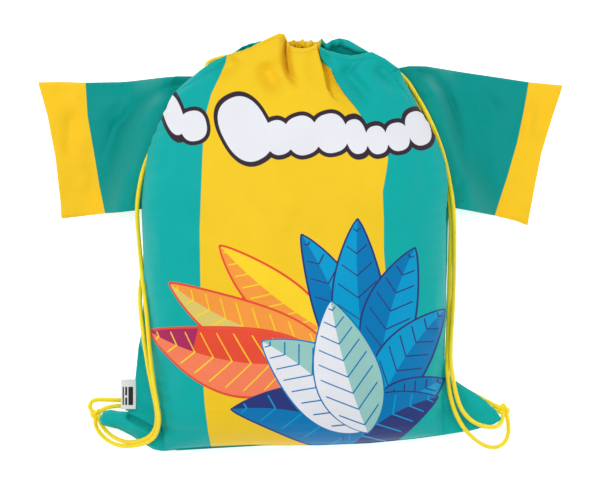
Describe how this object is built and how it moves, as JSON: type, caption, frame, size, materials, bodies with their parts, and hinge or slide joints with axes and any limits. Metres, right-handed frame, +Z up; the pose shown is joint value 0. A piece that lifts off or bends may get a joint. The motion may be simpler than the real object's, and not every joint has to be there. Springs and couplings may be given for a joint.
{
  "type": "drawstring bag",
  "caption": "Shirt-shaped drawstring bag lying filled on its back, with a striped front, short fold-up sleeves, a gathered top channel and knotted shoulder cords.",
  "frame": {"origin": "middle of the footprint of the bag, sleeves included and free cords left out, on the surface it lies on", "axes": "+Z up from the surface, +Y from the bottom seam to the gathered mouth, +X to the sleeve on the right as the front is seen"},
  "size_m": [0.4876, 0.3815, 0.12],
  "materials": {
    "front_cloth": "printed plain-weave polyester, faint satin sheen",
    "back_cloth": "plain-weave polyester, faint satin sheen",
    "sleeve_cloth": "plain-weave polyester, faint satin sheen",
    "cuff_cloth": "plain-weave polyester, faint satin sheen",
    "cord": "round braided polyester drawcord, matt",
    "tape": "woven tape, matt",
    "label": "white satin label tape",
    "thread": "sewing thread, matt"
  },
  "bodies": {
    "bag": {"front_panel": "front_cloth", "back_panel": "back_cloth", "front_channel": "front_cloth", "back_channel": "back_cloth", "side_seam_left": "back_cloth", "side_seam_right": "back_cloth", "bottom_seam": "back_cloth", "bar_tacks": "thread", "corner_loop_left": "tape", "corner_loop_right": "tape", "cord_left_run": "cord", "cord_right_run": "cord", "cord_left_front": "cord", "cord_left_back": "cord", "cord_right_front": "cord", "cord_right_back": "cord", "tail_left_long": "cord", "tail_left_short": "cord", "tail_right_long": "cord", "tail_right_short": "cord", "knot_left": "cord", "knot_right": "cord"},
    "left_sleeve": {"sleeve_left_front": "sleeve_cloth", "sleeve_left_back": "sleeve_cloth", "cuff_hem_left": "cuff_cloth"},
    "right_sleeve": {"sleeve_right_front": "sleeve_cloth", "sleeve_right_back": "sleeve_cloth", "cuff_hem_right": "cuff_cloth"},
    "label": {"side_label": "label"}
  },
  "joints": [
    {"name": "sleeve_left_fold", "type": "hinge", "parent": "bag", "child": "left_sleeve", "pos_m": [-0.162, 0.0305, 0.049], "axis": [0.3144, 0.9493, 0], "range_deg": [0, 60]},
    {"name": "sleeve_right_fold", "type": "hinge", "parent": "bag", "child": "right_sleeve", "pos_m": [0.1555, 0.0325, 0.049], "axis": [0.3283, -0.9446, 0], "range_deg": [0, 60]},
    {"name": "label_fold", "type": "hinge", "parent": "bag", "child": "label", "pos_m": [-0.1544, -0.138, 0.0298], "axis": [0, 1, 0], "range_deg": [0, 60]}
  ]
}
